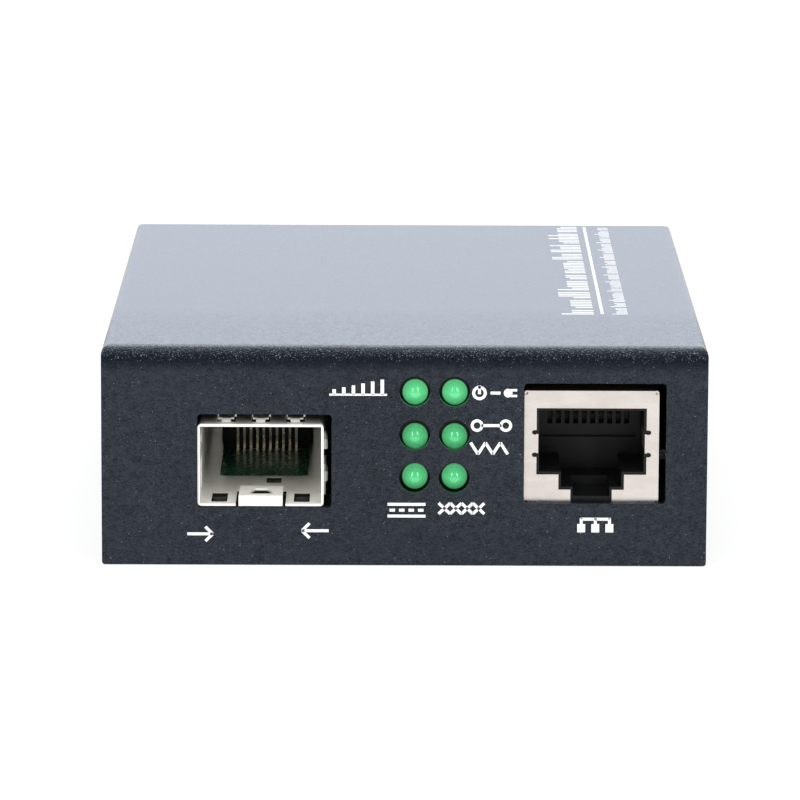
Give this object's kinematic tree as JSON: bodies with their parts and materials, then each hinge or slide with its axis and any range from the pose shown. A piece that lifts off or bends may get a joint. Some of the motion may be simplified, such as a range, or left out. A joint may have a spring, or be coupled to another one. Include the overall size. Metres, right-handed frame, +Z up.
{
  "type": "fibre media converter",
  "caption": "Small folded steel box that links a copper network socket to a pluggable optical module bay, with green indicators on the front and a barrel power inlet behind",
  "frame": {"origin": "middle of the base, on the surface the box stands on", "axes": "+X to the right of someone facing the front panel, -Y out of the front panel, +Z up"},
  "size_m": [0.071, 0.094, 0.026],
  "materials": {
    "case_paint": "satin",
    "screw_steel": "satin",
    "tin_plate": "bright",
    "shield_plate": "satin",
    "contact_gold": "bright",
    "tinned_lead": "satin",
    "solder_mask": "satin",
    "black_plastic": "satin",
    "chip_black": "matt",
    "green_lens": "gloss",
    "can_metal": "satin",
    "brass_post": "satin",
    "ferrite": "matt",
    "copper_wire": "satin",
    "ceramic_tan": "satin"
  },
  "bodies": {
    "root": {"upper_shell": "case_paint", "base_plate": "case_paint", "shell_screws": "screw_steel", "circuit_board": "solder_mask", "board_standoffs": "brass_post", "board_screws": "screw_steel", "sfp_cage": "tin_plate", "sfp_connector_housing": "black_plastic", "sfp_lower_contacts": "contact_gold", "sfp_upper_contacts": "contact_gold", "rj45_shield": "shield_plate", "rj45_housing": "black_plastic", "rj45_contact_insert": "black_plastic", "rj45_contacts": "contact_gold", "led_holder": "black_plastic", "led_leads": "tinned_lead", "dc_jack_housing": "black_plastic", "dc_jack_pin": "tinned_lead", "dc_jack_spring": "tinned_lead", "dc_jack_switch_contact": "tinned_lead", "converter_chip": "chip_black", "converter_chip_leads": "tinned_lead", "lan_transformer": "chip_black", "lan_transformer_leads": "tinned_lead", "memory_chip": "chip_black", "memory_chip_leads": "tinned_lead", "regulator_chip": "chip_black", "regulator_chip_leads": "tinned_lead", "crystal_can": "can_metal", "crystal_leads": "tinned_lead", "inductor_core": "ferrite", "inductor_coil": "copper_wire", "capacitor_bases": "black_plastic", "capacitor_cans": "can_metal", "input_diode": "chip_black", "input_diode_leads": "tinned_lead", "chip_capacitors": "ceramic_tan", "chip_resistors": "ceramic_tan", "led_lens_1": "green_lens", "led_lens_2": "green_lens", "led_lens_3": "green_lens", "led_lens_4": "green_lens", "led_lens_5": "green_lens", "led_lens_6": "green_lens"}
  },
  "joints": []
}
